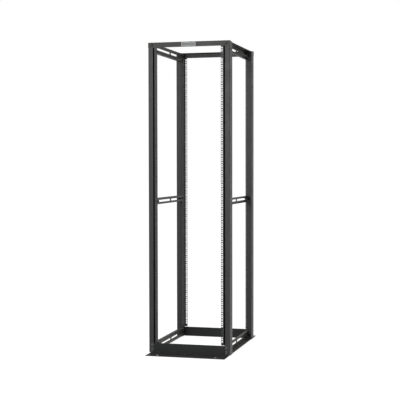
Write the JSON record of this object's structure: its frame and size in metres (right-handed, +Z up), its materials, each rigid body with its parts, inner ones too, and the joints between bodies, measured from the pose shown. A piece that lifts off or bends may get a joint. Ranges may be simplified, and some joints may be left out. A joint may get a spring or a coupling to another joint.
{
  "type": "four post open frame rack",
  "caption": "Free-standing open frame rack of four folded steel posts with square-hole mounting rails, slotted side members, top bars and flat base angles.",
  "frame": {"origin": "middle of the footprint, on the floor", "axes": "+X to the right seen from the front, the front faces -Y, +Z up"},
  "size_m": [0.574, 1.007, 2.1336],
  "materials": {
    "posts": "black textured powder coat",
    "mounting_rails": "black textured powder coat",
    "bars_and_members": "black textured powder coat",
    "badge": "satin plate"
  },
  "bodies": {
    "root": {"badge_plate": "badge", "base_angle_front": "bars_and_members", "base_angle_rear": "bars_and_members", "base_rail_left": "bars_and_members", "base_rail_right": "bars_and_members", "middle_brace_left": "bars_and_members", "middle_brace_right": "bars_and_members", "mounting_rail_front_left": "mounting_rails", "mounting_rail_front_right": "mounting_rails", "mounting_rail_rear_left": "mounting_rails", "mounting_rail_rear_right": "mounting_rails", "post_front_left": "posts", "post_front_right": "posts", "post_rear_left": "posts", "post_rear_right": "posts", "top_bar_front": "bars_and_members", "top_bar_rear": "bars_and_members", "top_rail_left": "bars_and_members", "top_rail_right": "bars_and_members"}
  },
  "joints": []
}
